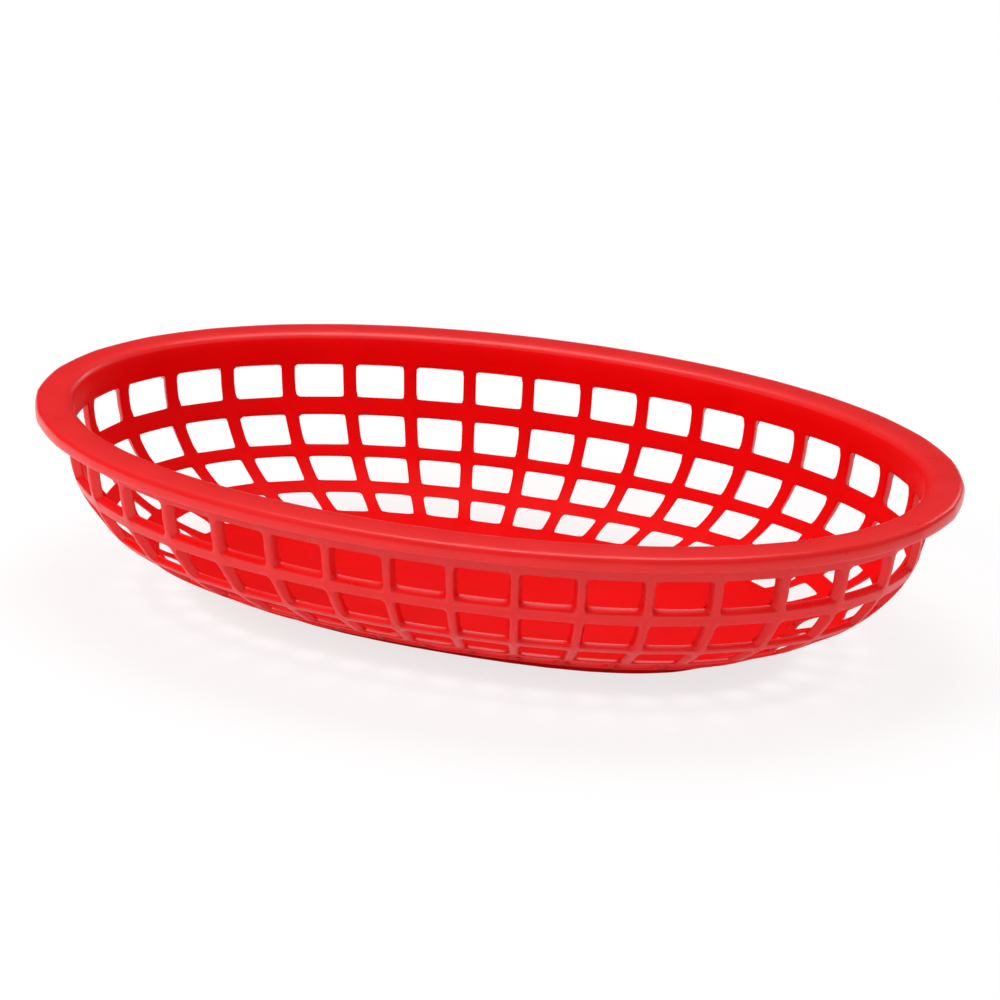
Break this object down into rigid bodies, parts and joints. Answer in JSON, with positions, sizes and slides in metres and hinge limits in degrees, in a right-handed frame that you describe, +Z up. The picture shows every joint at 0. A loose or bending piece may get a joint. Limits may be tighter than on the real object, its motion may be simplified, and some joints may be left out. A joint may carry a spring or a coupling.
{
  "type": "fast food basket",
  "caption": "Oval moulded plastic serving basket with an open lattice wall, a solid floor and a rolled rim.",
  "frame": {"origin": "middle of the resting plane, under the foot ring", "axes": "+X along the basket's length, +Y across its width, +Z up out of the mouth"},
  "size_m": [0.238, 0.1554, 0.0476],
  "materials": {
    "red_plastic": "satin moulded polyolefin, saturated red"
  },
  "bodies": {
    "root": {"basket": "red_plastic"}
  },
  "joints": []
}
